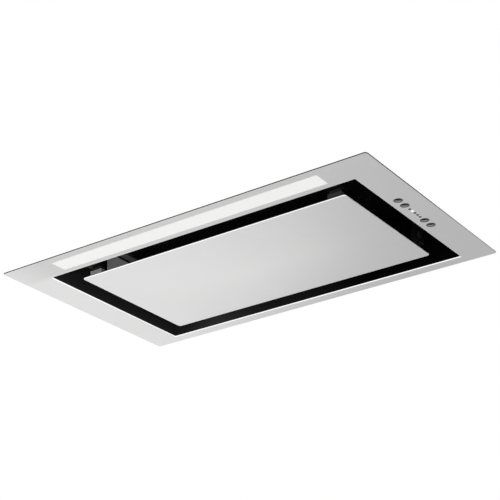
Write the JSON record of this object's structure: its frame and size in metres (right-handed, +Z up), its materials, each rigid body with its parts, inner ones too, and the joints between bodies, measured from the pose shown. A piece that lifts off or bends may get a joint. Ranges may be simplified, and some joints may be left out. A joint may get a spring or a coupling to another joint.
{
  "type": "range hood",
  "caption": "Built-in cabinet range hood: flush hinged suction panel, front light strip, push buttons, grease filter, fan and a round top outlet with non-return flaps.",
  "frame": {"origin": "plan centre of the frame, level with the upper face of the seal that meets the cabinet's underside", "axes": "+X to the user's right, +Y towards the wall, +Z up"},
  "size_m": [0.52, 0.315, 0.3122],
  "materials": {
    "brushed_stainless": "fine brushed grain along the width",
    "button_metal": "dark turned metal with a dished face",
    "opal_lens": "opal diffuser",
    "lit_indicator": "clear light guide, lit",
    "dark_indicator": "smoked light guide",
    "foam_seal": "closed-cell foam strip",
    "black_enamel": "black powder coat",
    "galvanised_sheet": "galvanised sheet with a faint spangle",
    "zinc_steel": "bright zinc",
    "spring_steel": "blued spring steel",
    "bronze_bush": "sintered bronze",
    "ferrite": "sintered ferrite",
    "filter_aluminium": "rolled aluminium frame and expanded mesh",
    "black_plastic": "moulded, fine texture",
    "grey_plastic": "moulded, fine texture",
    "circuit_board": "solder resist",
    "small_electrics": "moulded",
    "motor_can_steel": "zinc-plated can",
    "laminations": "stacked laminations",
    "capacitor_can": "moulded can"
  },
  "bodies": {
    "body": {"fascia_frame": "brushed_stainless", "lamp_diffuser": "opal_lens", "indicator_pipe_lit": "lit_indicator", "indicator_pipes": "dark_indicator", "perimeter_seal": "foam_seal", "recess_tray": "black_enamel", "hinge_brackets": "black_enamel", "housing_shell": "galvanised_sheet", "housing_top": "galvanised_sheet", "fan_box": "galvanised_sheet", "fascia_angles": "galvanised_sheet", "lamp_housing": "galvanised_sheet", "fascia_screws": "zinc_steel", "board_screws": "zinc_steel", "hinge_pins": "zinc_steel", "hinge_bracket_screws": "zinc_steel", "catch_screws": "zinc_steel", "housing_screws": "zinc_steel", "side_clip_rivets": "zinc_steel", "scroll_screws": "zinc_steel", "collar_screws": "zinc_steel", "damper_pin": "zinc_steel", "motor_bearings": "zinc_steel", "motor_spider": "zinc_steel", "side_clips": "spring_steel", "catch_magnets": "ferrite", "filter_frame": "filter_aluminium", "filter_mesh": "filter_aluminium", "control_housing": "black_plastic", "control_cover": "black_plastic", "catch_bodies": "black_plastic", "latch_guide": "black_plastic", "scroll_left": "black_plastic", "scroll_right": "black_plastic", "exhaust_collar": "black_plastic", "terminal_box": "grey_plastic", "cable_gland": "grey_plastic", "led_driver": "grey_plastic", "led_board": "circuit_board", "control_board": "circuit_board", "led_chips": "small_electrics", "tact_switches": "small_electrics", "motor_can": "motor_can_steel", "motor_stator": "laminations", "capacitor": "capacitor_can"},
    "panel": {"panel_skin": "brushed_stainless", "panel_backing": "black_enamel", "catch_strikes": "zinc_steel", "panel_hinge_arms": "zinc_steel", "hinge_bushes": "bronze_bush"},
    "fan": {"impeller_wheel": "black_plastic", "motor_rotor": "laminations", "motor_shaft": "zinc_steel"},
    "light_button": {"light_button": "button_metal"},
    "minus_button": {"minus_button": "button_metal"},
    "plus_button": {"plus_button": "button_metal"},
    "timer_button": {"timer_button": "button_metal"},
    "filter_latch": {"filter_latch": "black_plastic"},
    "damper_flap_front": {"damper_flap_front": "black_plastic"},
    "damper_flap_rear": {"damper_flap_rear": "black_plastic"}
  },
  "joints": [
    {"name": "panel_swing", "type": "hinge", "parent": "body", "child": "panel", "pos_m": [0, 0.099, 0.0213], "axis": [1, 0, 0], "range_deg": [0, 90]},
    {"name": "light_button_press", "type": "slide", "parent": "body", "child": "light_button", "axis": [0, 0, 1], "range_m": [0, 0.001], "stiffness_N_per_m": 1500},
    {"name": "minus_button_press", "type": "slide", "parent": "body", "child": "minus_button", "axis": [0, 0, 1], "range_m": [0, 0.001], "stiffness_N_per_m": 1500},
    {"name": "plus_button_press", "type": "slide", "parent": "body", "child": "plus_button", "axis": [0, 0, 1], "range_m": [0, 0.001], "stiffness_N_per_m": 1500},
    {"name": "timer_button_press", "type": "slide", "parent": "body", "child": "timer_button", "axis": [0, 0, 1], "range_m": [0, 0.001], "stiffness_N_per_m": 1500},
    {"name": "latch_slide", "type": "slide", "parent": "body", "child": "filter_latch", "axis": [0, 1, 0], "range_m": [0, 0.006], "stiffness_N_per_m": 500},
    {"name": "fan_spin", "type": "hinge", "parent": "body", "child": "fan", "pos_m": [0, 0.0495, 0.172], "axis": [1, 0, 0], "continuous": true},
    {"name": "flap_front_swing", "type": "hinge", "parent": "body", "child": "damper_flap_front", "pos_m": [0, 0, 0.2797], "axis": [-1, 0, 0], "range_deg": [0, 75]},
    {"name": "flap_rear_swing", "type": "hinge", "parent": "body", "child": "damper_flap_rear", "pos_m": [0, 0, 0.2797], "axis": [1, 0, 0], "range_deg": [0, 75]}
  ]
}
